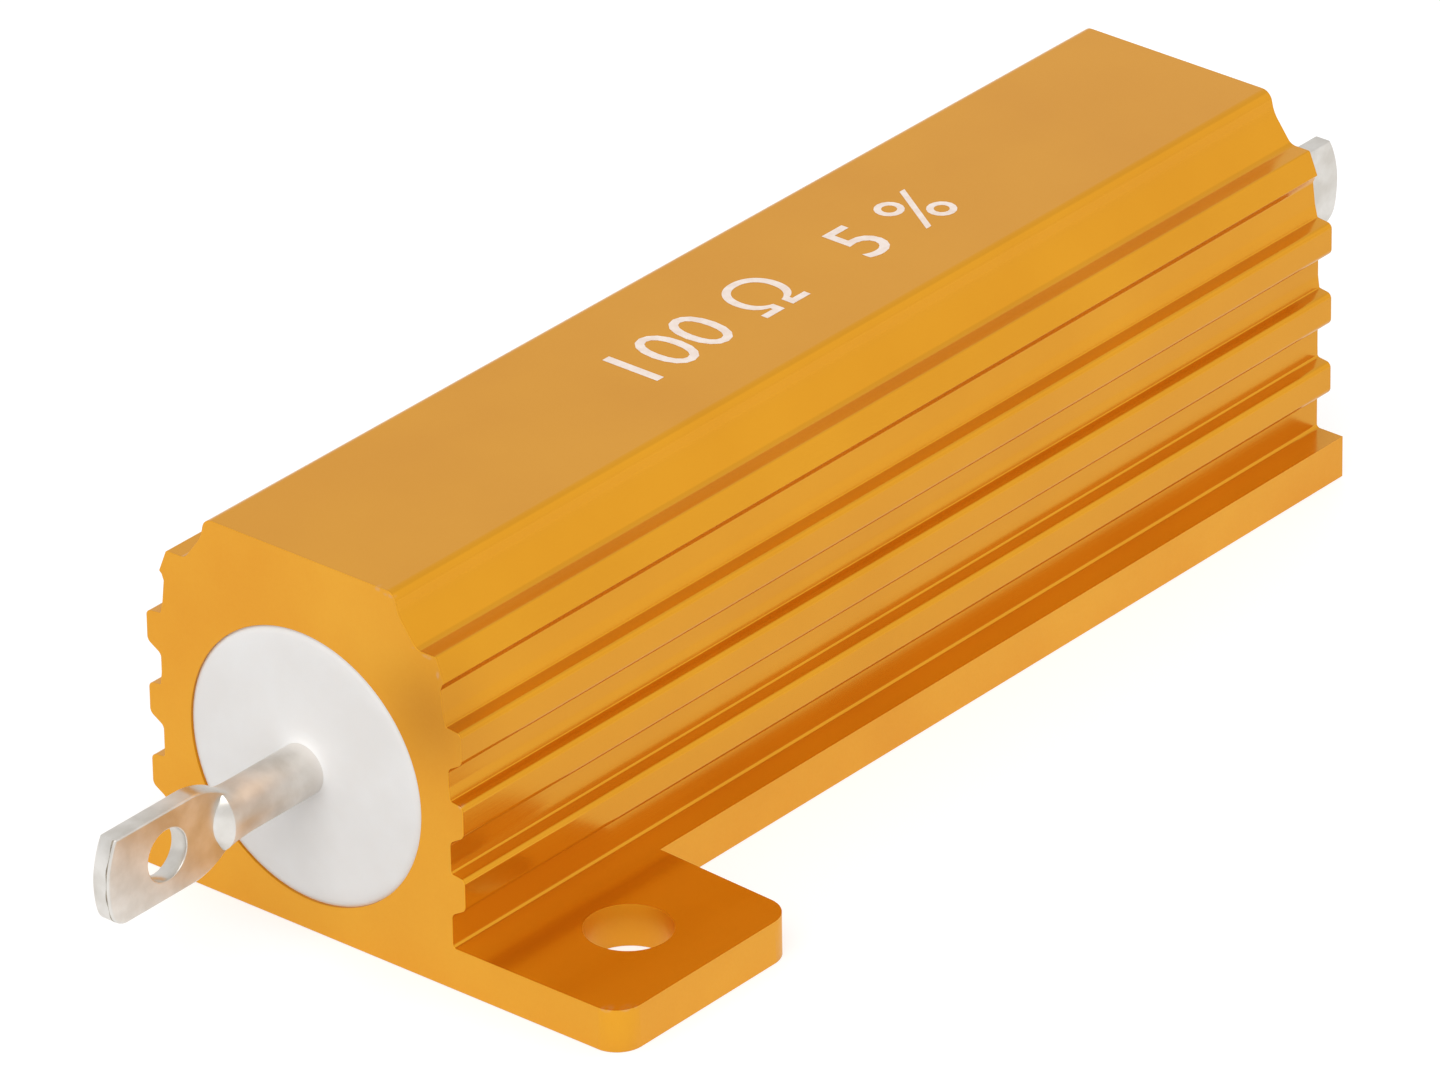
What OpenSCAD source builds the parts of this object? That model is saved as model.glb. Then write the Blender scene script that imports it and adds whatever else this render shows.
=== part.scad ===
// Aluminium housed power resistor with two screw lugs and two solder eyelets.
//
// A ceramic rod carries the resistance winding. A steel cup is pressed on each end of the rod,
// and a round lead is welded to the cup's end. The wound rod sits in the bore of a finned
// aluminium extrusion, bedded in white cement, and a plug of cement closes each end.
//
// X runs along the housing and the front lead points to -X. Z is up.
// The origin is the middle of the housing's flat underside.

/* [Housing] */
// Length that the extrusion is sawn to
body_l = 50; // [48:0.5:60]
// Height of the extrusion
body_h = 15.2; // [15.1:0.1:17]
// Width of the flat top between the shoulders
top_w = 8.9; // [8:0.1:9.2]
// Width across the side walls, at the floor of the grooves
wall_w = 13.54; // [13.2:0.02:13.9]
// Width across the tips of the fins
fin_w = 14.8; // [14.5:0.1:15.4]
// Height of the lowest fin's middle above the base
fin_first_z = 4.02; // [3.9:0.02:4.1]
// Distance from each fin to the next
fin_pitch = 2.94; // [2.86:0.02:2.98]

/* [Bore] */
// Diameter of the bore
bore_d = 10.86; // [10:0.02:11]
// Height of the bore's axis above the base
bore_z = 6.66; // [6.5:0.02:6.8]

/* [Base and lugs] */
// Thickness of the base flanges and the lugs
flange_t = 1.7; // [1.5:0.1:2]
// Width of the base where the flanges are cut back
base_w = 16; // [15.6:0.1:17]
// Width across the two lugs
lug_w = 29; // [28:0.5:32]
// Length of each lug, where it meets the housing
lug_l = 9.9; // [9:0.1:12]
// How much shorter each lug is at its outer edge
lug_draft = 0.35; // [0:0.05:0.6]
// Radius of a lug's outer corners
lug_corner_r = 1.1; // [0.5:0.1:2]
// Distance from a sawn end to the middle of the screw hole beside it
hole_inset = 4.95; // [4.5:0.05:5.5]
// Distance between the two screw holes across the housing
hole_span_y = 21.4; // [20.5:0.1:22]
// Diameter of the screw holes
hole_d = 3.3; // [2.6:0.1:3.4]

/* [Leads and eyelets] */
// Diameter of the round lead
lead_d = 2; // [1.6:0.1:2.2]
// How far the front lead stands out of the housing
front_out = 10.8; // [8:0.1:20]
// How far the rear lead stands out of the housing
rear_out = 9.6; // [8:0.1:20]
// How far below the bore's axis the rear lead is welded
rear_drop = 0.2; // [0:0.05:0.4]
// Width of the part that is pressed flat
eyelet_w = 3.5; // [3.2:0.1:4]
// Thickness of the part that is pressed flat
eyelet_t = 0.75; // [0.6:0.05:1]
// Diameter of the hole in the eyelet
eyelet_hole_d = 2; // [1.6:0.1:2.2]

/* [Wound rod] */
// Diameter of the ceramic rod
rod_d = 7; // [6.6:0.1:7]
// Length of the ceramic rod
rod_l = 39; // [36:0.5:40]
// Wall of the steel end cups
cup_t = 0.5; // [0.4:0.05:0.5]
// Depth of the steel end cups, over their closed end
cup_l = 4; // [3:0.1:5]
// Diameter of the resistance wire
wire_d = 0.34; // [0.3:0.01:0.34]
// Number of turns of resistance wire
wire_turns = 32; // [20:1:36]

/* [Cement] */
// Thickness of the cement plug in each end of the bore
plug_t = 2.5; // [1.5:0.1:3]
// How far the cement creeps up the lead
creep_h = 0.3; // [0.2:0.05:0.5]
// How much wider than the lead the creeping cement is at its foot
creep_spread = 1.2; // [0.6:0.1:2]

/* [Hidden] */
$fn = 64;

gold = "#E09A2B";
tin = "#C9C1B4";
cement = "#E6E3DF";
steatite = "#D9CDBB";
steel = "#9AA0A6";
alloy = "#8C8279";

cut = 1; // how far a cutting shape runs past the face that it cuts

// The fin's section, measured from the fin's middle and from the wall and tip widths.
fin_root_low = 0.98;
fin_tip_low = 0.6;
fin_tip_high = 0.62;
fin_root_high = 0.9;
fin_count = 3;

// The shoulder above the fins: a narrow top fin, a cove, and a rounded top corner.
groove_top_z = 12.1;
groove_lean = 0.3;
top_fin_w = 13.4;
top_fin_tip_z = 12.32;
top_fin_face_z = 13.26;
top_fin_face_w = 12.66;
cove_w = 10.9;
cove_top_z = 14.35;
cove_top_w = 9.28;

// Radii of the section's corners.
root_r = 0.25;
tip_r = 0.28;
edge_r = 0.12;
cove_r = 0.45;
shoulder_r = 1.2;
top_r = 0.45;
arc_steps = 4;
lug_arc_steps = 12;

cup_end_x = rod_l / 2 + cup_t;
cup_rim_x = cup_end_x - cup_l;
cup_r = rod_d / 2 + cup_t;

// The eyelet's outline: a rounded tip, straight flanks, and a neck that curves in to the lead.
eyelet_tip_r = 3.2;
eyelet_corner_r = 0.7;
eyelet_neck_r = 2.9;
eyelet_straight = 4.45;
eyelet_hole_x = 3.1;

// The round part starts at press_x from the tip, behind a shoulder with this slope in degrees.
press_x = 6;
press_slope = 50;

creep_rim = 0.2;

// Path of the resistance wire. It clears the rod and ends against the cups' rims.
turn_steps = 14;
wire_sides = 6;
wire_r = wire_d / 2;
wire_path_r = cup_r - wire_r - 0.03;
wire_tail = 0.5;

// One rounded corner as a short arc. Each corner is [x, y, radius] in its outline's own plane.
function rounded_corner(before, corner, after, steps) =
    let (
        a = [before[0] - corner[0], before[1] - corner[1]],
        b = [after[0] - corner[0], after[1] - corner[1]],
        a_unit = a / norm(a),
        b_unit = b / norm(b),
        half_angle = acos(a_unit * b_unit) / 2,
        middle = (a_unit + b_unit) / norm(a_unit + b_unit),
        centre = [corner[0], corner[1]] + middle * corner[2] / sin(half_angle),
        from_angle = atan2(-middle[1], -middle[0]),
        sweep = 90 - half_angle,
        turn = sign(a_unit[0] * b_unit[1] - a_unit[1] * b_unit[0])
    )
    [for (i = [0 : steps])
        let (angle = from_angle + turn * sweep * (1 - 2 * i / steps))
        centre + corner[2] * [cos(angle), sin(angle)]];

// A closed outline with its corners rounded. A radius of 0 leaves a corner sharp.
function rounded_outline(corners, steps) =
    let (n = len(corners))
    [for (i = [0 : n - 1])
        each (corners[i][2] > 0
            ? rounded_corner(corners[(i + n - 1) % n], corners[i], corners[(i + 1) % n], steps)
            : [[corners[i][0], corners[i][1]]])];

// Corners of one fin, from its lower root to its upper root.
function fin_corners(z, lean = 0) = [
    [wall_w / 2, z - fin_root_low, root_r],
    [fin_w / 2, z - fin_tip_low, tip_r],
    [fin_w / 2, z + fin_tip_high, tip_r],
    [wall_w / 2 - lean / 2, z + fin_root_high, root_r]
];

// The right half of the extrusion's section, from the base up to the middle of the top.
side_corners = concat(
    [
        [0, 0, 0],
        [base_w / 2, 0, edge_r],
        [base_w / 2, flange_t, edge_r],
        [wall_w / 2, flange_t, root_r]
    ],
    [for (i = [0 : fin_count - 1])
        each fin_corners(fin_first_z + i * fin_pitch, i == fin_count - 1 ? groove_lean : 0)],
    [
        [wall_w / 2 - groove_lean, groove_top_z, edge_r],
        [top_fin_w / 2, top_fin_tip_z, edge_r],
        [top_fin_face_w / 2, top_fin_face_z, edge_r],
        [cove_w / 2, top_fin_face_z, cove_r],
        [cove_top_w / 2, cove_top_z, shoulder_r],
        [top_w / 2, body_h, top_r],
        [0, body_h, 0]
    ]
);

module extrusion_section() {
    half_outline = rounded_outline(side_corners, arc_steps);
    for (side = [0, 1]) mirror([side, 0]) polygon(half_outline);
}

// One screw lug on the -Y side, with its two outer corners rounded.
module lug_outline() {
    saw_x = -body_l / 2;
    root_y = -base_w / 2 + 1;
    outer_y = -lug_w / 2;
    polygon(rounded_outline([
        [saw_x, root_y, 0],
        [saw_x, outer_y, lug_corner_r],
        [saw_x + lug_l - lug_draft, outer_y, lug_corner_r],
        [saw_x + lug_l, -base_w / 2, 0],
        [saw_x + lug_l, root_y, 0]
    ], lug_arc_steps));
}

// The extrusion, sawn to length, with its flanges cut back to one lug at each of two
// opposite corners, and drilled.
module housing() {
    color(gold) difference() {
        union() {
            translate([-body_l / 2, 0, 0]) rotate([90, 0, 90])
                linear_extrude(height = body_l) extrusion_section();
            for (half_turn = [0, 180]) rotate([0, 0, half_turn])
                linear_extrude(height = flange_t) lug_outline();
        }
        translate([-body_l / 2 - cut, 0, bore_z]) rotate([0, 90, 0])
            cylinder(h = body_l + 2 * cut, d = bore_d);
        for (half_turn = [0, 180]) rotate([0, 0, half_turn])
            translate([hole_inset - body_l / 2, -hole_span_y / 2, -cut])
                cylinder(h = flange_t + 2 * cut, d = hole_d);
    }
}

// Outline of the pressed eyelet, with its tip at x = 0 and the lead along +X.
module eyelet_outline() {
    corner_y = eyelet_w / 2 - eyelet_corner_r;
    arc_gap = eyelet_tip_r - eyelet_corner_r;
    corner_x = eyelet_tip_r - sqrt(arc_gap * arc_gap - corner_y * corner_y);
    corner_way = [corner_x - eyelet_tip_r, corner_y] / arc_gap;
    difference() {
        intersection() {
            union() {
                translate([eyelet_tip_r, 0]) circle(eyelet_tip_r);
                translate([eyelet_tip_r, -eyelet_w]) square(2 * eyelet_w);
            }
            union() {
                translate([-cut, -eyelet_w / 2]) square([eyelet_straight + cut, eyelet_w]);
                intersection_for (side = [-1, 1])
                    translate([eyelet_straight, side * (eyelet_w / 2 - eyelet_neck_r)])
                        circle(eyelet_neck_r);
            }
        }
        for (side = [0, 1]) mirror([0, side]) translate([corner_x, corner_y]) difference() {
            polygon([[0, 0], [0, cut], [-cut, cut], 2 * cut * corner_way]);
            circle(eyelet_corner_r);
        }
    }
}

// A round lead whose outer end is pressed flat and pierced. Its tip is at x = 0.
module lead(length) {
    shoulder_l = lead_d / 2 / tan(press_slope);
    difference() {
        union() {
            translate([press_x, 0, 0]) rotate([0, 90, 0])
                cylinder(h = length - press_x, d = lead_d);
            // The press leaves a sloping shoulder between the flat and the round part.
            translate([press_x - shoulder_l, 0, 0]) rotate([0, 90, 0])
                cylinder(h = shoulder_l, d1 = 0, d2 = lead_d);
            translate([0, eyelet_t / 2, 0]) rotate([90, 0, 0])
                linear_extrude(height = eyelet_t) eyelet_outline();
        }
        translate([eyelet_hole_x, 0, 0]) rotate([90, 0, 0])
            cylinder(h = eyelet_t + 2 * cut, d = eyelet_hole_d, center = true);
    }
}

module front_terminal() {
    tip_x = body_l / 2 + front_out;
    color(tin) translate([-tip_x, 0, bore_z]) lead(tip_x - cup_end_x);
}

module rear_terminal() {
    tip_x = body_l / 2 + rear_out;
    color(tin) rotate([0, 0, 180]) translate([-tip_x, 0, bore_z - rear_drop]) lead(tip_x - cup_end_x);
}

// A plug of cement, level with the sawn end and drawn up round the lead by creep_h.
module end_plug(lead_drop) {
    color(cement) difference() {
        union() {
            translate([-body_l / 2, 0, bore_z]) rotate([0, 90, 0]) cylinder(h = plug_t, d = bore_d);
            translate([-body_l / 2 - creep_h, 0, bore_z - lead_drop]) rotate([0, 90, 0])
                cylinder(h = creep_h, d1 = lead_d + creep_rim, d2 = lead_d + creep_spread);
        }
        translate([-body_l / 2 - creep_h - cut, 0, bore_z - lead_drop]) rotate([0, 90, 0])
            cylinder(h = plug_t + creep_h + 2 * cut, d = lead_d);
    }
}

module front_end_plug() {
    end_plug(0);
}

module rear_end_plug() {
    rotate([0, 0, 180]) end_plug(rear_drop);
}

module ceramic_rod() {
    color(steatite) translate([-rod_l / 2, 0, bore_z]) rotate([0, 90, 0])
        cylinder(h = rod_l, d = rod_d);
}

// A drawn steel cup pressed on the rod's end.
module end_cup() {
    color(steel) translate([-cup_end_x, 0, bore_z]) rotate([0, 90, 0]) difference() {
        cylinder(h = cup_l, r = cup_r);
        translate([0, 0, cup_t]) cylinder(h = cup_l, d = rod_d);
    }
}

module front_end_cup() {
    end_cup();
}

module rear_end_cup() {
    rotate([0, 0, 180]) end_cup();
}

// The wire leaves one cup along X, winds round the rod, and ends on the other cup.
// Each entry is [x, angle round the rod].
function wire_stations() =
    let (
        x_start = -cup_rim_x + wire_tail,
        x_end = cup_rim_x - wire_tail,
        count = wire_turns * turn_steps
    )
    concat(
        [[-cup_rim_x, 0]],
        [for (i = [0 : count]) [x_start + (x_end - x_start) * i / count, 360 * i / turn_steps]],
        [[cup_rim_x, 360 * wire_turns]]
    );

module resistance_winding() {
    stations = wire_stations();
    n = len(stations);
    points = [for (i = [0 : n - 1])
        let (
            x = stations[i][0],
            angle = stations[i][1],
            out = [0, cos(angle), sin(angle)],
            around = [0, -sin(angle), cos(angle)],
            is_end = i == 0 || i == n - 1,
            pitch = (2 * (cup_rim_x - wire_tail)) / wire_turns,
            lead_angle = is_end ? 0 : atan2(2 * PI * wire_path_r, pitch),
            along_side = [-sin(lead_angle), 0, 0] + cos(lead_angle) * around
        )
        for (k = [0 : wire_sides - 1])
            let (turn = 360 * k / wire_sides)
            [x, 0, bore_z] + (wire_path_r + wire_r * cos(turn)) * out
                + wire_r * sin(turn) * along_side];
    sides = [for (i = [0 : n - 2], k = [0 : wire_sides - 1])
        let (
            a = i * wire_sides + k,
            b = i * wire_sides + (k + 1) % wire_sides
        )
        each [[a, a + wire_sides, b + wire_sides], [a, b + wire_sides, b]]];
    ends = [
        [for (k = [0 : wire_sides - 1]) k],
        [for (k = [wire_sides - 1 : -1 : 0]) (n - 1) * wire_sides + k]
    ];
    color(alloy) polyhedron(points = points, faces = concat(sides, ends));
}

// White cement that fills the bore round the wound rod, its cups and its leads.
module cement_filling() {
    half_l = body_l / 2 - plug_t;
    color(cement) difference() {
        translate([-half_l, 0, bore_z]) rotate([0, 90, 0]) cylinder(h = 2 * half_l, d = bore_d);
        translate([-cup_end_x, 0, bore_z]) rotate([0, 90, 0]) cylinder(h = 2 * cup_end_x, r = cup_r);
        translate([-half_l - cut, 0, bore_z]) rotate([0, 90, 0])
            cylinder(h = half_l - cup_end_x + 2 * cut, d = lead_d);
        translate([cup_end_x - cut, 0, bore_z - rear_drop]) rotate([0, 90, 0])
            cylinder(h = half_l - cup_end_x + 2 * cut, d = lead_d);
    }
}

housing();
front_terminal();
rear_terminal();
front_end_plug();
rear_end_plug();
ceramic_rod();
resistance_winding();
front_end_cup();
rear_end_cup();
cement_filling();
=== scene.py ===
"""Aluminium housed power resistor: its looks, light and camera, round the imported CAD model.

The sections follow the resistor as it is put together: the wound rod, the leads, the finned
housing, the cement that seals it, and the print. The drawing's sizes are in millimetres, and
MM turns them into the frame's metres.
"""

import math

import bmesh
import bpy
from mathutils import Matrix, Vector


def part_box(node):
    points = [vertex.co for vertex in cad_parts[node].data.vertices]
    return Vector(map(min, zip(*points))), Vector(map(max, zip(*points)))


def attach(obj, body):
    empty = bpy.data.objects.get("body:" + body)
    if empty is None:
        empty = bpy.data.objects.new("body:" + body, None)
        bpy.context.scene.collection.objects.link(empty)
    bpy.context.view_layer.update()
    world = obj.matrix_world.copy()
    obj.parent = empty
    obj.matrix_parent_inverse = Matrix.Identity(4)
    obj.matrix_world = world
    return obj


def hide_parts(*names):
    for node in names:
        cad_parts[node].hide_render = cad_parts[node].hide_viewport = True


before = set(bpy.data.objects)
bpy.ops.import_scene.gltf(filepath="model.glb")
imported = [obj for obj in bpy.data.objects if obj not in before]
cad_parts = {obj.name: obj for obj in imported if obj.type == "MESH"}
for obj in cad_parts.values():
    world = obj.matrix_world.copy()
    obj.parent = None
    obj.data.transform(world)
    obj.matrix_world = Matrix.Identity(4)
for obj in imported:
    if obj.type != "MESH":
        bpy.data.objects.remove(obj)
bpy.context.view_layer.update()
MM = 0.001

# ---- Wound rod ----------------------------------------------------------------------------
# A turned steatite rod carries a close winding of nickel-chrome wire. A drawn and plated
# steel cup is pressed on each end. The cement hides all of it, and the CAD shapes stay.


def srgb(hex_code):
    """The linear colour of an sRGB hex value."""
    channels = [int(hex_code[i : i + 2], 16) / 255 for i in (1, 3, 5)]
    return [c / 12.92 if c <= 0.04045 else ((c + 0.055) / 1.055) ** 2.4 for c in channels] + [1]


def per(size):
    """Texture scale at which a pattern repeats every size millimetres."""
    return 1 / (size * MM)


def add_node(tree, kind, inputs=None, **settings):
    """Adds a node, sets its properties, and sets or links its inputs."""
    node = tree.nodes.new(kind)
    for name, value in settings.items():
        setattr(node, name, value)
    for name, value in (inputs or {}).items():
        if isinstance(value, bpy.types.NodeSocket):
            tree.links.new(value, node.inputs[name])
        else:
            node.inputs[name].default_value = value
    return node


def start_material(name, sockets):
    """A new material with these sockets set on its shader. Returns it, its tree and shader."""
    material = bpy.data.materials.new(name)
    material.use_nodes = True
    shader = material.node_tree.nodes["Principled BSDF"]
    for socket, value in sockets.items():
        shader.inputs[socket].default_value = value
    return material, material.node_tree, shader


def mottle(tree, size, low, high):
    """A soft mottle between two hex colours, of a size in mm. Returns its noise and colour."""
    place = add_node(tree, "ShaderNodeTexCoord").outputs["Object"]
    noise = add_node(
        tree, "ShaderNodeTexNoise", {"Vector": place, "Scale": per(size), "Detail": 4.0}
    )
    ramp = add_node(tree, "ShaderNodeValToRGB", {"Fac": noise.outputs["Fac"]})
    # The noise stays mostly between these two values.
    for index, (value, hex_code) in enumerate(((0.35, low), (0.65, high))):
        stop = ramp.color_ramp.elements[index]
        stop.position = value
        stop.color = srgb(hex_code)
    return noise.outputs["Fac"], ramp.outputs["Color"]


def mottled_material(name, sockets, size, low, high):
    """A new material whose only pattern is a mottle in its colour."""
    material, tree, shader = start_material(name, sockets)
    _, colour = mottle(tree, size, low, high)
    tree.links.new(colour, shader.inputs["Base Color"])
    return material


# Steatite is fired bare: warm white, dry and slightly speckled.
steatite = mottled_material("steatite, fired", {"Roughness": 0.55}, 0.6, "#CFC2AE", "#DDD2C0")
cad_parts["ceramic_rod"].material_slots[0].material = steatite

# Drawn resistance wire keeps a dull grey-brown skin.
resistance_wire = mottled_material(
    "nickel-chrome wire, drawn", {"Metallic": 1.0, "Roughness": 0.38}, 1.5, "#7E756B", "#968C80"
)
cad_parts["resistance_winding"].material_slots[0].material = resistance_wire

# The cups are pressed from plated strip: a bright grey, slightly clouded.
plated_steel = mottled_material(
    "nickel-plated steel, drawn", {"Metallic": 1.0, "Roughness": 0.3}, 0.8, "#A3A7AA", "#B5B8B9"
)
for node in ("front_end_cup", "rear_end_cup"):
    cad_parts[node].material_slots[0].material = plated_steel

# ---- Leads --------------------------------------------------------------------------------
# Each lead is a tinned copper wire, 2 mm thick. Its outer end is pressed flat, trimmed to a
# rounded tip and pierced, and its inner end is welded to the cup inside the cement.


def joined(shape, tools):
    """The shape after each tool is added to it or cut from it. Tools are (bmesh, operation)."""

    def as_object(name, part):
        bmesh.ops.recalc_face_normals(part, faces=part.faces)
        mesh = bpy.data.meshes.new(name)
        part.to_mesh(mesh)
        part.free()
        made = bpy.data.objects.new(name, mesh)
        bpy.context.scene.collection.objects.link(made)
        return made

    work = as_object("work", shape)
    cutters = []
    for part, operation in tools:
        cutters.append(as_object("cutter", part))
        step = work.modifiers.new(operation, "BOOLEAN")
        step.operation = operation
        step.solver = "EXACT"
        step.object = cutters[-1]
    evaluated = work.evaluated_get(bpy.context.evaluated_depsgraph_get())
    result = bmesh.new()
    result.from_mesh(evaluated.to_mesh())
    for used in [work, *cutters]:
        mesh = used.data
        bpy.data.objects.remove(used)
        bpy.data.meshes.remove(mesh)
    bmesh.ops.remove_doubles(result, verts=result.verts, dist=0.0005 * MM)
    return result


def rounded(shape, edges, radius, segments, material=-1):
    """Rounds edges of the shape to a radius in mm."""
    bmesh.ops.bevel(
        shape,
        geom=edges,
        offset=radius * MM,
        offset_type="OFFSET",
        segments=segments,
        profile=0.5,
        affect="EDGES",
        clamp_overlap=True,
        material=material,
    )


def round_corner(outline, corner, setback, segments):
    """Rounds one corner of a flat outline, from a setback in mm along both of its sides."""
    bmesh.ops.bevel(
        outline,
        geom=[corner],
        offset=setback * MM,
        offset_type="OFFSET",
        segments=segments,
        profile=0.5,
        affect="VERTICES",
        clamp_overlap=False,
        material=-1,
    )


def new_verts(extruded):
    """The vertices among the parts that an extrude returns."""
    return [part for part in extruded["geom"] if isinstance(part, bmesh.types.BMVert)]


def sharp_edges(shape, degrees):
    """The edges where two faces of the shape meet at more than this angle."""
    limit = math.radians(degrees)
    return [edge for edge in shape.edges if edge.is_manifold and edge.calc_face_angle() > limit]


def add_piece(name, shape, materials, nodes):
    """Shows a finished shape in place of CAD nodes, riding on the resistor's one body."""
    bmesh.ops.recalc_face_normals(shape, faces=shape.faces)
    mesh = bpy.data.meshes.new(name)
    shape.to_mesh(mesh)
    shape.free()
    for material in materials:
        mesh.materials.append(material)
    mesh.shade_smooth()
    mesh.set_sharp_from_angle(angle=math.radians(35))
    piece = bpy.data.objects.new(name, mesh)
    bpy.context.scene.collection.objects.link(piece)
    # The wide flats keep their own normals, so that only the small roundings shade as curved.
    flats_first = piece.modifiers.new("flats first", "WEIGHTED_NORMAL")
    flats_first.weight = 100
    flats_first.keep_sharp = True
    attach(piece, "root")
    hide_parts(*nodes)


wire_r = 1.0
eyelet_half_t = 0.375
eyelet_half_w = 1.75
eyelet_hole_x = 3.1
eyelet_hole_r = 1.0
trimmed_edge_r = 0.15
hole_rim_r = 0.06
# Corners of the flat end from its tip to its neck: x, z and the setback of each rounding.
# The first pair is rounded so far back that it makes the tip one shallow arc.
eyelet_corners = [
    (0.0, 0.954, 0.95),
    (0.49, eyelet_half_w, 0.45),
    (5.57, eyelet_half_w, 1.12),
    (6.9, 0.55, 0),
]
# The round part from its inner end: x, half thickness and half width. The press has pushed
# the metal sideways just behind the shoulder.
shoulder_x = 6.03
shank_rings = [
    (7.6, wire_r, wire_r),
    (7.0, wire_r, 1.01),
    (6.5, 0.995, 1.07),
    (6.2, 0.985, 1.15),
    (shoulder_x, 0.96, 1.22),
    (5.97, 0.9, 1.2),
    (5.25, 0.1, 0.25),
]
# The shear trims the tip. On one side it tears through the last of the metal and leaves a
# wavy line, whose dull grey-brown is painted shade: its width, the y that it starts at, and
# its waves' height, turn per mm and start.
sheared_reach = 0.5
torn_line_w = 0.045
torn_side_y = -0.15
torn_wave_h = 0.03
torn_wave_turn = 6.1
torn_wave_start = -2.3

pressed_finish, drawn_finish, torn_shade_finish = range(3)


def pressed_lead(length):
    """A lead of that length in mm, with its tip at the origin and its shank along X."""
    blade = bmesh.new()
    corners = eyelet_corners + [(x, -z, setback) for x, z, setback in reversed(eyelet_corners)]
    outline = [blade.verts.new((x * MM, -eyelet_half_t * MM, z * MM)) for x, z, _ in corners]
    blade.faces.new(outline)
    for corner, (_, _, setback) in zip(outline, corners):
        if setback:
            round_corner(blade, corner, setback, 10)
    bmesh.ops.remove_doubles(blade, verts=blade.verts, dist=0.005 * MM)
    far_side = new_verts(bmesh.ops.extrude_face_region(blade, geom=blade.faces[:]))
    bmesh.ops.translate(blade, verts=far_side, vec=(0, 2 * eyelet_half_t * MM, 0))
    hole_middle = Matrix.Translation((eyelet_hole_x * MM, 0, 0))
    punch = bmesh.new()
    bmesh.ops.create_cone(
        punch,
        cap_ends=True,
        segments=72,
        radius1=eyelet_hole_r * MM,
        radius2=eyelet_hole_r * MM,
        depth=8 * eyelet_half_t * MM,
        matrix=hole_middle @ Matrix.Rotation(math.pi / 2, 4, "X"),
    )
    blade = joined(blade, [(punch, "DIFFERENCE")])

    def on_hole(vert):
        """Whether the vertex is on the pierced hole."""
        from_middle = vert.co.xz - Vector((eyelet_hole_x * MM, 0))
        return from_middle.length < 1.01 * eyelet_hole_r * MM

    sharp = sharp_edges(blade, 60)
    hole_rims = [edge for edge in sharp if all(on_hole(vert) for vert in edge.verts)]
    rounded(blade, [edge for edge in sharp if edge not in hole_rims], trimmed_edge_r, 4)
    rounded(blade, [edge for edge in hole_rims if edge.is_valid], hole_rim_r, 2)

    shank = bmesh.new()
    ring = bmesh.ops.create_circle(
        shank,
        cap_ends=True,
        segments=64,
        radius=wire_r * MM,
        matrix=Matrix.Translation((length * MM, 0, 0)) @ Matrix.Rotation(math.pi / 2, 4, "Y"),
    )["verts"]
    half_t, half_w, ring_x = wire_r, wire_r, length
    for x, new_half_t, new_half_w in shank_rings:
        rim = [edge for edge in shank.edges if all(vert in ring for vert in edge.verts)]
        ring = new_verts(bmesh.ops.extrude_edge_only(shank, edges=rim))
        bmesh.ops.translate(shank, verts=ring, vec=((x - ring_x) * MM, 0, 0))
        bmesh.ops.scale(shank, verts=ring, vec=(1, new_half_t / half_t, new_half_w / half_w))
        half_t, half_w, ring_x = new_half_t, new_half_w, x
    bmesh.ops.contextual_create(shank, geom=[edge for edge in shank.edges if edge.is_boundary])
    # The rings between round and oval aren't flat, so both shapes go in as triangles.
    for part in (blade, shank):
        bmesh.ops.triangulate(part, faces=part.faces)
    lead = joined(shank, [(blade, "UNION")])
    bmesh.ops.dissolve_limit(
        lead, angle_limit=math.radians(0.5), verts=lead.verts, edges=lead.edges
    )
    for face in lead.faces:
        flat = face.calc_center_median().x < shoulder_x * MM
        face.material_index = pressed_finish if flat else drawn_finish
    sheared = [
        face
        for face in lead.faces
        if face.calc_center_median().x < sheared_reach * MM and abs(face.normal.y) < 0.05
    ]
    strips = bmesh.ops.inset_region(
        lead, faces=sheared, thickness=torn_line_w * MM, use_even_offset=True
    )["faces"]
    # The strip on the torn side takes the painted shade.
    for face in strips:
        torn = face.calc_center_median().y < torn_side_y * MM
        face.material_index = torn_shade_finish if torn else pressed_finish
    for vert in {vert for face in sheared for vert in face.verts}:
        if vert.co.y < 0:
            wave = math.sin(torn_wave_turn * vert.co.z / MM + torn_wave_start)
            vert.co.y += torn_wave_h * MM * wave
    return lead


# A thin film of cement has crept along each lead, from the housing's end outwards.
film_from = 25.0
film_reach = 1.0
drawn_line_w = 0.25
dent_size = 1.2


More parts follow.
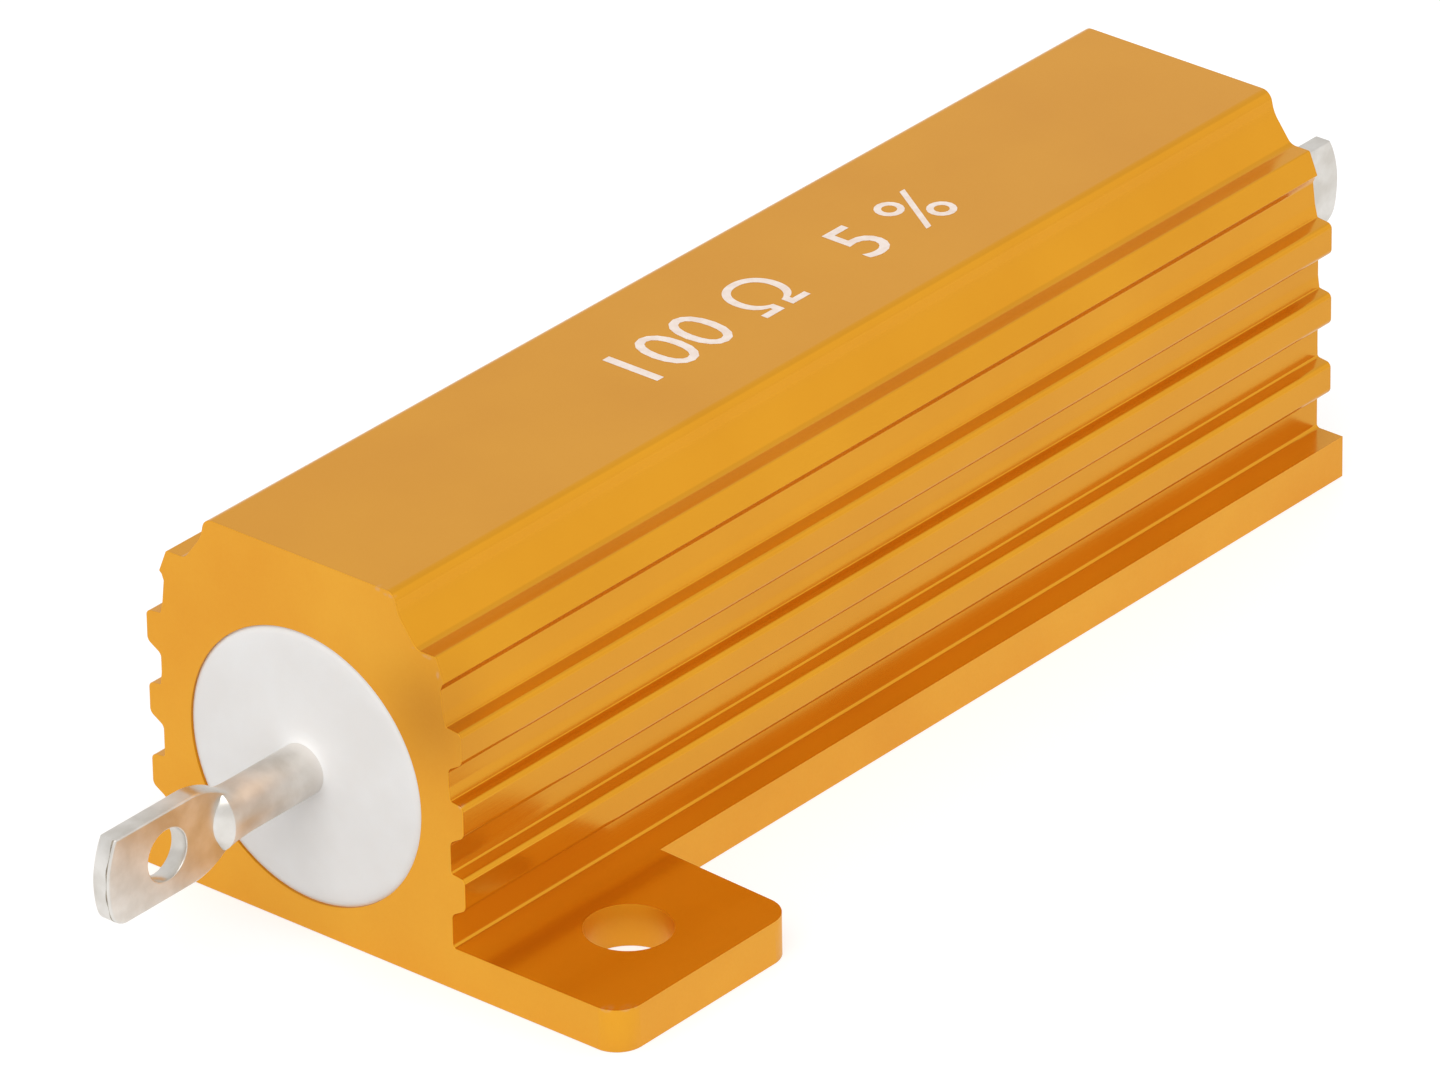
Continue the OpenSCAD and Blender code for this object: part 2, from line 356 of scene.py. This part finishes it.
def tinned_copper(name, roughness, line_length, relief_height):
    """Tin over copper, a little warm, with drawing lines along the wire and small dents."""
    material, tree, shader = start_material(name, {})
    place = add_node(tree, "ShaderNodeTexCoord").outputs["Object"]
    cloud, colour = mottle(tree, 1.3, "#D1CCC4", "#E7E4DF")
    across = add_node(tree, "ShaderNodeSeparateXYZ", {"Vector": place})
    out = add_node(tree, "ShaderNodeMath", {0: across.outputs["X"]}, operation="ABSOLUTE")
    film = add_node(
        tree,
        "ShaderNodeMapRange",
        {
            "Value": out.outputs["Value"],
            "From Min": film_from * MM,
            "From Max": (film_from + film_reach) * MM,
            "To Min": 1.0,
            "To Max": 0.0,
        },
    )
    filmed = add_node(
        tree,
        "ShaderNodeMix",
        {0: film.outputs["Result"], 6: colour, 7: srgb("#E4DFD9")},
        data_type="RGBA",
    )
    tree.links.new(filmed.outputs[2], shader.inputs["Base Color"])
    bare_tin = add_node(
        tree, "ShaderNodeMath", {0: 1.0, 1: film.outputs["Result"]}, operation="SUBTRACT"
    )
    tree.links.new(bare_tin.outputs["Value"], shader.inputs["Metallic"])
    sheen = add_node(
        tree,
        "ShaderNodeMapRange",
        {
            "Value": cloud,
            "From Min": 0.3,
            "From Max": 0.7,
            "To Min": roughness - 0.03,
            "To Max": roughness + 0.03,
        },
    )
    tree.links.new(sheen.outputs["Result"], shader.inputs["Roughness"])
    along = add_node(
        tree,
        "ShaderNodeMapping",
        {"Vector": place, "Scale": (per(line_length), per(drawn_line_w), per(drawn_line_w))},
    )
    drawn = add_node(
        tree, "ShaderNodeTexNoise", {"Vector": along.outputs["Vector"], "Scale": 1.0, "Detail": 3.0}
    )
    dents = add_node(
        tree, "ShaderNodeTexNoise", {"Vector": place, "Scale": per(dent_size), "Detail": 2.0}
    )
    relief = add_node(
        tree,
        "ShaderNodeMath",
        {0: drawn.outputs["Fac"], 1: 0.8, 2: dents.outputs["Fac"]},
        operation="MULTIPLY_ADD",
    )
    bump = add_node(
        tree,
        "ShaderNodeBump",
        {"Strength": 1.0, "Distance": relief_height * MM, "Height": relief.outputs["Value"]},
    )
    tree.links.new(bump.outputs["Normal"], shader.inputs["Normal"])
    return material


# The dies burnish the flat end. The round part keeps the duller skin of drawn and tinned wire.
# The real drawing lines are finer, and are drawn this coarse so that they show.
tinned_finishes = [
    tinned_copper("tinned copper, pressed", roughness=0.31, line_length=3.0, relief_height=0.0012),
    tinned_copper("tinned copper, drawn", roughness=0.42, line_length=6.0, relief_height=0.002),
]

# The torn line is painted a dull grey-brown: painted shade along the sheared tip's edge.
torn_line_shade = mottled_material(
    "torn line, painted shade", {"Metallic": 1.0, "Roughness": 0.55}, 0.25, "#857B6F", "#B3A999"
)

for name, half_turn in (("front", 0), ("rear", 1)):
    low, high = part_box(name + "_terminal")
    lead = pressed_lead((high.x - low.x) / MM)
    tip = Vector((high.x if half_turn else low.x, 0, (low.z + high.z) / 2))
    place_at = Matrix.Translation(tip) @ Matrix.Rotation(math.pi * half_turn, 4, "Z")
    bmesh.ops.transform(lead, matrix=place_at, verts=lead.verts)
    add_piece(
        name + "_solder_lead",
        lead,
        [*tinned_finishes, torn_line_shade],
        [name + "_terminal"],
    )

# ---- Housing ------------------------------------------------------------------------------
# One aluminium extrusion: fins and flanges run the whole length. It is sawn off, its flanges
# are milled back to a lug at two opposite corners, drilled, then etched, anodised and dyed.

body_l = 50.0
top_z = 15.19  # a hair under the CAD's 15.2, so that the print lies inside the CAD's height
flange_t = 1.7
base_half_w = 8.0
wall_half_w = 6.77
fin_half_w = 7.4
bore_r = 5.43
bore_z = 6.66
lug_end_x = -15.1
lug_outer_y = -14.5
lug_draft = 0.35
lug_corner_r = 1.1
screw_hole = (-20.05, -10.7)
screw_hole_r = 1.65
drill_l = 10.0
sawn_edge_break = 0.14
edge_break = 0.08
close = 0.01  # two places nearer to each other than this count as one

# One half of the section, from the base to the top: y, z and corner radius.
half_section = [
    (base_half_w, 0, 0),
    (base_half_w, flange_t, 0),
    (wall_half_w, flange_t, 0.15),
]
# The wall above each fin leans out to a foot on the fin's flat top: the fin's height, the
# wall's y, then the foot's y and radius.
for fin_z, wall_y, foot_y, foot_r in (
    (4.02, 6.77, 6.78, 0.1),
    (6.96, 6.77, 6.84, 0.05),
    (9.9, 6.6, 6.72, 0.05),
):
    half_section += [
        (wall_half_w, fin_z - 0.98, 0.25),  # the root below the fin
        (fin_half_w, fin_z - 0.6, 0.28),  # the fin's lower corner
        (fin_half_w, fin_z + 0.62, 0.22),  # its upper corner
        (foot_y, fin_z + 0.7, foot_r),  # the wall's foot on the fin
        (wall_y, fin_z + 1.2, 0.6),  # the wall above the fin
    ]
half_section += [
    (6.5, 11.99, 0.12),  # the groove's top
    (6.59, 12.23, 0),  # the top fin's underside flares
    (6.7, 12.33, 0.04),  # the top fin's lower edge
    (6.33, 13.26, 0.12),  # its upper edge
    (5.45, 13.26, 0.4),  # the cove
    (4.64, 14.35, 1.2),  # the shoulder
    (4.45, top_z, 0.45),  # the edge of the top face
]

extrusion = bmesh.new()
section = half_section + [(-y, z, radius) for y, z, radius in reversed(half_section)]
corners = [extrusion.verts.new((-body_l / 2 * MM, y * MM, z * MM)) for y, z, _ in section]
extrusion.faces.new(corners)
for index, (y, z, radius) in enumerate(section):
    if radius:
        here = Vector((y, z))
        before = Vector(section[index - 1][:2]) - here
        after = Vector(section[(index + 1) % len(section)][:2]) - here
        setback = radius / math.tan(before.angle(after) / 2)
        round_corner(extrusion, corners[index], setback, 6)
far_end = new_verts(bmesh.ops.extrude_face_region(extrusion, geom=extrusion.faces[:]))
bmesh.ops.translate(extrusion, verts=far_end, vec=(body_l * MM, 0, 0))

# The section has the flanges as they are once milled back. Each lug is drawn out from there,
# with its inner end drafted and its outer corners rounded.
for side in (1, -1):
    whole = extrusion.verts[:] + extrusion.edges[:] + extrusion.faces[:]
    bmesh.ops.bisect_plane(
        extrusion, geom=whole, plane_co=(side * lug_end_x * MM, 0, 0), plane_no=(1, 0, 0)
    )
    flange_end = [
        face
        for face in extrusion.faces
        if abs(face.calc_center_median().y - side * -base_half_w * MM) < close * MM
        and side * face.calc_center_median().x < lug_end_x * MM
    ]
    outer = new_verts(bmesh.ops.extrude_face_region(extrusion, geom=flange_end))
    reach = side * (lug_outer_y + base_half_w) * MM
    bmesh.ops.translate(extrusion, verts=outer, vec=(0, reach, 0))
    bmesh.ops.delete(extrusion, geom=flange_end, context="FACES_ONLY")
    drafted = [vert for vert in outer if abs(vert.co.x - side * lug_end_x * MM) < close * MM]
    bmesh.ops.translate(extrusion, verts=drafted, vec=(-side * lug_draft * MM, 0, 0))
    outer_corners = [
        edge
        for edge in extrusion.edges
        if all(vert in outer for vert in edge.verts)
        and abs(edge.verts[0].co.z - edge.verts[1].co.z) > flange_t / 2 * MM
    ]
    rounded(extrusion, outer_corners, lug_corner_r, 10)
bmesh.ops.recalc_face_normals(extrusion, faces=extrusion.faces)
bmesh.ops.dissolve_limit(
    extrusion,
    angle_limit=math.radians(0.5),
    verts=extrusion.verts,
    edges=extrusion.edges,
)

drills = []
bore = bmesh.new()
bmesh.ops.create_cone(
    bore,
    cap_ends=True,
    segments=128,
    radius1=bore_r * MM,
    radius2=bore_r * MM,
    depth=1.2 * body_l * MM,
    matrix=Matrix.Translation((0, 0, bore_z * MM)) @ Matrix.Rotation(math.pi / 2, 4, "Y"),
)
drills.append((bore, "DIFFERENCE"))
for side in (1, -1):
    drill = bmesh.new()
    bmesh.ops.create_cone(
        drill,
        cap_ends=True,
        segments=72,
        radius1=screw_hole_r * MM,
        radius2=screw_hole_r * MM,
        depth=drill_l * MM,
        matrix=Matrix.Translation((side * screw_hole[0] * MM, side * screw_hole[1] * MM, 0)),
    )
    drills.append((drill, "DIFFERENCE"))
housing = joined(extrusion, drills)

# Faces that the saw and the cutter made are matt. Those that the die made are glossier.
extruded_finish, sawn_finish, tumbled_finish = range(3)
for face in housing.faces:
    centre = face.calc_center_median() / MM
    sawn = abs(centre.x) > body_l / 2 - close
    upright = abs(face.normal.z) < 0.5
    milled = upright and centre.z < flange_t and abs(centre.y) > base_half_w - close
    face.material_index = sawn_finish if sawn or milled else extruded_finish
end_edges = [
    edge
    for edge in sharp_edges(housing, 35)
    if all(abs(vert.co.x) > (body_l / 2 - close) * MM for vert in edge.verts)
]
rounded(housing, end_edges, sawn_edge_break, 3, material=tumbled_finish)
rounded(housing, sharp_edges(housing, 50), edge_break, 2, material=tumbled_finish)

# A darker gold is painted round one place on the front end: painted shade.
painted_shade_at = Vector((-25, -6.0, 10.8))
painted_shade_r = 3.2
painted_shade_share = 0.75
# At a few small knocks the skin is rubbed thin, with a ragged edge: x, y, z, then how far
# each reaches along Y and along Z.
knock_reach_x = 0.4
knock_share = 0.65
ragged_size = 0.25
knocks = [
    (-25, -3.7, 15.1, 0.16, 0.12),
    (-25, -4.2, 15.0, 0.3, 0.09),
    (-25, -5.3, 13.3, 0.12, 0.07),
    (-25, -5.95, 13.15, 0.3, 0.1),
    (-25, -6.4, 12.6, 0.09, 0.24),
    (-25, -7.25, 7.6, 0.1, 0.14),
    (-24.85, -13.75, 1.7, 0.25, 0.15),
    (-24.35, -14.35, 1.7, 0.35, 0.12),
]


def anodised(name, low, high, roughness, skin, texture_size, stretch, depth):
    """Gold-dyed anodised aluminium. The dye sits in a clear oxide skin over etched metal.

    The skin scatters some light of its own, so the metal shows through it a little dulled.
    """
    material, tree, shader = start_material(
        name, {"Metallic": 0.78, "Coat Weight": skin, "Coat Roughness": 0.25}
    )
    place = add_node(tree, "ShaderNodeTexCoord").outputs["Object"]
    _, gold = mottle(tree, 7.0, low, high)
    bare = 0.0
    for x, y, z, reach_y, reach_z in knocks:
        from_knock = add_node(
            tree,
            "ShaderNodeVectorMath",
            {0: place, 1: (x * MM, y * MM, z * MM)},
            operation="SUBTRACT",
        )
        reaches = add_node(
            tree,
            "ShaderNodeVectorMath",
            {
                0: from_knock.outputs["Vector"],
                1: (per(knock_reach_x), per(reach_y), per(reach_z)),
            },
            operation="MULTIPLY",
        )
        reach = add_node(
            tree, "ShaderNodeVectorMath", {0: reaches.outputs["Vector"]}, operation="LENGTH"
        )
        knock = add_node(
            tree,
            "ShaderNodeMapRange",
            {"Value": reach.outputs["Value"], "From Min": 1.0, "From Max": 0.3},
        )
        bare = add_node(
            tree, "ShaderNodeMath", {0: bare, 1: knock.outputs["Result"]}, operation="MAXIMUM"
        ).outputs["Value"]
    ragged = add_node(
        tree, "ShaderNodeTexNoise", {"Vector": place, "Scale": per(ragged_size), "Detail": 3.0}
    )
    thinned = add_node(
        tree,
        "ShaderNodeMapRange",
        {
            "Value": ragged.outputs["Fac"],
            "From Min": 0.35,
            "From Max": 0.65,
            "To Max": knock_share,
        },
    )
    worn = add_node(
        tree, "ShaderNodeMath", {0: bare, 1: thinned.outputs["Result"]}, operation="MULTIPLY"
    )
    # Painted shade: a darker gold is mixed in round one place on the front end.
    from_painted_shade = add_node(
        tree, "ShaderNodeVectorMath", {0: place, 1: painted_shade_at * MM}, operation="DISTANCE"
    )
    painted_shade = add_node(
        tree,
        "ShaderNodeMapRange",
        {
            "Value": from_painted_shade.outputs["Value"],
            "From Min": painted_shade_r * MM,
            "From Max": 0.0,
            "To Max": painted_shade_share,
        },
        interpolation_type="SMOOTHSTEP",
    )
    dyed = add_node(
        tree,
        "ShaderNodeMix",
        {0: painted_shade.outputs["Result"], 6: gold, 7: srgb("#D08A14")},
        data_type="RGBA",
    )
    colour = add_node(
        tree,
        "ShaderNodeMix",
        {0: worn.outputs["Value"], 6: dyed.outputs[2], 7: srgb("#DDB08A")},
        data_type="RGBA",
    )
    tree.links.new(colour.outputs[2], shader.inputs["Base Color"])
    across = per(texture_size)
    along = per(texture_size * stretch)
    grain = add_node(
        tree, "ShaderNodeMapping", {"Vector": place, "Scale": (along, across, across)}
    )
    lines = add_node(
        tree, "ShaderNodeTexNoise", {"Vector": grain.outputs["Vector"], "Scale": 1.0, "Detail": 3.0}
    )
    rough = add_node(
        tree,
        "ShaderNodeMapRange",
        {
            "Value": lines.outputs["Fac"],
            "From Min": 0.3,
            "From Max": 0.7,
            "To Min": roughness - 0.03,
            "To Max": roughness + 0.03,
        },
    )
    tree.links.new(rough.outputs["Result"], shader.inputs["Roughness"])
    bump = add_node(
        tree,
        "ShaderNodeBump",
        {"Strength": 1.0, "Distance": depth * MM, "Height": lines.outputs["Fac"]},
    )
    tree.links.new(bump.outputs["Normal"], shader.inputs["Normal"])
    return material


# The die leaves faint lines along the housing, and the saw a fine even grain that takes the
# dye a little lighter. The edges are tumbled smooth. The real lines and grain are finer, and
# are drawn this coarse so that they show.
anodised_finishes = [
    anodised(
        "anodised aluminium, extruded",
        "#DF9813",
        "#E39D17",
        roughness=0.2,
        skin=0.1,
        texture_size=0.15,
        stretch=60,
        depth=0.0006,
    ),
    anodised(
        "anodised aluminium, sawn",
        "#EAA21D",
        "#EFAC27",
        roughness=0.5,
        skin=0.22,
        texture_size=0.12,
        stretch=1,
        depth=0.004,
    ),
    anodised(
        "anodised aluminium, tumbled edge",
        "#DF9813",
        "#E39D17",
        roughness=0.35,
        skin=0.15,
        texture_size=0.2,
        stretch=1,
        depth=0.002,
    ),
]
add_piece("finned_housing", housing, anodised_finishes, ["housing"])

# ---- Cement -------------------------------------------------------------------------------
# White silicone-bound cement is poured round the wound rod and set. A plug of it closes each
# end of the bore, wets the bore's edge and creeps a little way up the lead.

# The set cement is a soft, faintly uneven white, with a low sheen and a slightly wavy skin.
cement, tree, shader = start_material(
    "silicone cement, cast", {"Roughness": 0.42, "IOR": 1.5, "Subsurface Weight": 0.1}
)
shader.inputs["Subsurface Radius"].default_value = (0.5 * MM, 0.45 * MM, 0.4 * MM)
_, colour = mottle(tree, 2.2, "#F0EDEA", "#F4F2F0")
tree.links.new(colour, shader.inputs["Base Color"])
place = add_node(tree, "ShaderNodeTexCoord").outputs["Object"]
skin = add_node(tree, "ShaderNodeTexNoise", {"Vector": place, "Scale": per(0.9), "Detail": 5.0})
bump = add_node(
    tree, "ShaderNodeBump", {"Strength": 1.0, "Distance": 0.01 * MM, "Height": skin.outputs["Fac"]}
)
tree.links.new(bump.outputs["Normal"], shader.inputs["Normal"])
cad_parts["cement_filling"].material_slots[0].material = cement

# The plug's profile from the lead outwards: radius, and how far it stands out of the bore.
plug_depth = 2.5
carried_r = 2.1  # the cement within this radius goes with the lead
plug_profile = [
    (wire_r, -plug_depth),
    (wire_r, 0.16),
    (1.08, 0.1),
    (1.22, 0.05),
    (1.5, 0.02),
    (2.0, 0.0),
    (3.0, 0.0),
    (4.6, 0.0),
    (5.1, -0.02),
    (5.3, -0.05),
    (bore_r, -0.12),
    (bore_r, -plug_depth),
]
for name, side in (("front", -1), ("rear", 1)):
    low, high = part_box(name + "_terminal")
    lead_z = (low.z + high.z) / 2
    plug = bmesh.new()
    profile = [
        plug.verts.new((side * (body_l / 2 + out) * MM, 0, bore_z * MM + radius * MM))
        for radius, out in plug_profile
    ]
    for corner, next_corner in zip(profile, profile[1:] + profile[:1]):
        plug.edges.new((corner, next_corner))
    bmesh.ops.spin(
        plug,
        geom=plug.verts[:] + plug.edges[:],
        cent=(0, 0, bore_z * MM),
        axis=(1, 0, 0),
        angle=2 * math.pi,
        steps=96,
        use_merge=True,
    )
    # The rear lead sits a little off the bore's axis, and the cement round it goes with it.
    bore_middle = Vector((0, bore_z * MM))
    carried = [
        vert for vert in plug.verts if (vert.co.yz - bore_middle).length < carried_r * MM
    ]
    bmesh.ops.translate(plug, verts=carried, vec=(0, 0, lead_z - bore_z * MM))
    add_piece(name + "_cement_seal", plug, [cement], [name + "_end_plug"])

# ---- Print --------------------------------------------------------------------------------
# The resistance and its tolerance are stamped on the top face in off-white ink.

# The ink is thin and matt, and the gold beneath it warms its white.
ink = mottled_material("epoxy ink, stamped", {"Roughness": 0.5}, 0.35, "#E2CFC2", "#EADCD2")

letter_size = 3.8
ink_half_t = 0.004
ink_middle = (1.3, -0.3, top_z + 0.005)

letters = bpy.data.curves.new("value_print", "FONT")
letters.body = "100 Ω   5 %"
letters.size = letter_size * MM
letters.extrude = ink_half_t * MM
letters.align_x = "CENTER"
letters.align_y = "CENTER"
letters.resolution_u = 4
stencil = bpy.data.objects.new("stencil", letters)
bpy.context.scene.collection.objects.link(stencil)
evaluated = stencil.evaluated_get(bpy.context.evaluated_depsgraph_get())
print_mesh = bpy.data.meshes.new_from_object(evaluated)
# The faces and rims of the letters come unjoined. Merging them closes each letter.
closed = bmesh.new()
closed.from_mesh(print_mesh)
bmesh.ops.remove_doubles(closed, verts=closed.verts, dist=0.001 * MM)
closed.to_mesh(print_mesh)
closed.free()
print_mesh.transform(Matrix.Translation([value * MM for value in ink_middle]))
bpy.data.objects.remove(stencil)
print_mesh.materials.clear()
print_mesh.materials.append(ink)
value_print = bpy.data.objects.new("value_print", print_mesh)
bpy.context.scene.collection.objects.link(value_print)
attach(value_print, "root")

# ---- Table, light and camera ---------------------------------------------------------------
# A white table, a large soft lamp over the front left, a fill from the right, and a lens far
# enough away to keep the long edges nearly parallel.

# The laminate is itself a mid grey, which keeps the light that it sends up soft. What the
# camera sees of it is lifted to white, and what the metal mirrors of it a little less.
seen_lift = 0.6
mirrored_lift = 0.49
table_white, tree, shader = start_material(
    "table, white laminate", {"Roughness": 0.6, "Base Color": srgb("#B3B3B3")}
)
path = add_node(tree, "ShaderNodeLightPath")
mirrored = add_node(
    tree,
    "ShaderNodeMath",
    {0: path.outputs["Is Glossy Ray"], 1: path.outputs["Is Transmission Ray"]},
    operation="MAXIMUM",
)
in_mirrors = add_node(
    tree, "ShaderNodeMath", {0: mirrored.outputs["Value"], 1: mirrored_lift}, operation="MULTIPLY"
)
lift = add_node(
    tree,
    "ShaderNodeMath",
    {0: path.outputs["Is Camera Ray"], 1: seen_lift, 2: in_mirrors.outputs["Value"]},
    operation="MULTIPLY_ADD",
)
glow = add_node(
    tree, "ShaderNodeEmission", {"Color": srgb("#FFFFFF"), "Strength": lift.outputs["Value"]}
)
both = add_node(
    tree, "ShaderNodeAddShader", {0: shader.outputs["BSDF"], 1: glow.outputs["Emission"]}
)
tree.links.new(both.outputs["Shader"], tree.nodes["Material Output"].inputs["Surface"])

table_r = 1.6
table_disc = bmesh.new()
bmesh.ops.create_circle(table_disc, cap_ends=True, segments=96, radius=table_r)
table_mesh = bpy.data.meshes.new("table")
table_disc.to_mesh(table_mesh)
table_disc.free()
table_mesh.materials.append(table_white)
table_top = bpy.data.objects.new("table", table_mesh)
table_top.location.z = -0.02 * MM  # just clear of the housing's underside
bpy.context.scene.collection.objects.link(table_top)

# The room is an even pale grey all round.
room = bpy.data.worlds.new("room")
bpy.context.scene.world = room
room.use_nodes = True
walls = room.node_tree.nodes["Background"]
walls.inputs["Color"].default_value = srgb("#EBEBEB")
walls.inputs["Strength"].default_value = 1.0

# Each lamp's width is in metres and its power in watts, and it points at the resistor.
for name, size, power, at in (
    ("key_softbox", 1.0, 5.2, (-0.6, -0.3, 0.9)),
    ("fill_softbox", 1.2, 0.62, (0.6, -0.75, 0.5)),
):
    lamp = bpy.data.lights.new(name, "AREA")
    lamp.shape = "DISK"
    lamp.size = size
    lamp.energy = power
    softbox = bpy.data.objects.new(name, lamp)
    softbox.location = at
    softbox.rotation_euler = (-Vector(at)).to_track_quat("-Z", "Y").to_euler()
    bpy.context.scene.collection.objects.link(softbox)

lens = bpy.data.cameras.new("camera")
lens.sensor_width = 36
lens.lens = 327.07
lens.clip_start = 0.01
camera = bpy.data.objects.new("camera", lens)
bpy.context.scene.collection.objects.link(camera)
# The camera's own axes, and then where it stands, in metres.
right, up, back = (
    Vector((0.6403785, -0.7679218, -0.0145418)),
    Vector((0.3737426, 0.2950160, 0.8793646)),
    Vector((-0.6709932, -0.5685611, 0.4759269)),
)
turn = Matrix((right, up, back)).transposed().to_4x4()
camera.matrix_world = Matrix.Translation((-0.323419, -0.272286, 0.233985)) @ turn
bpy.context.scene.camera = camera
bpy.context.scene.view_settings.view_transform = "Standard"
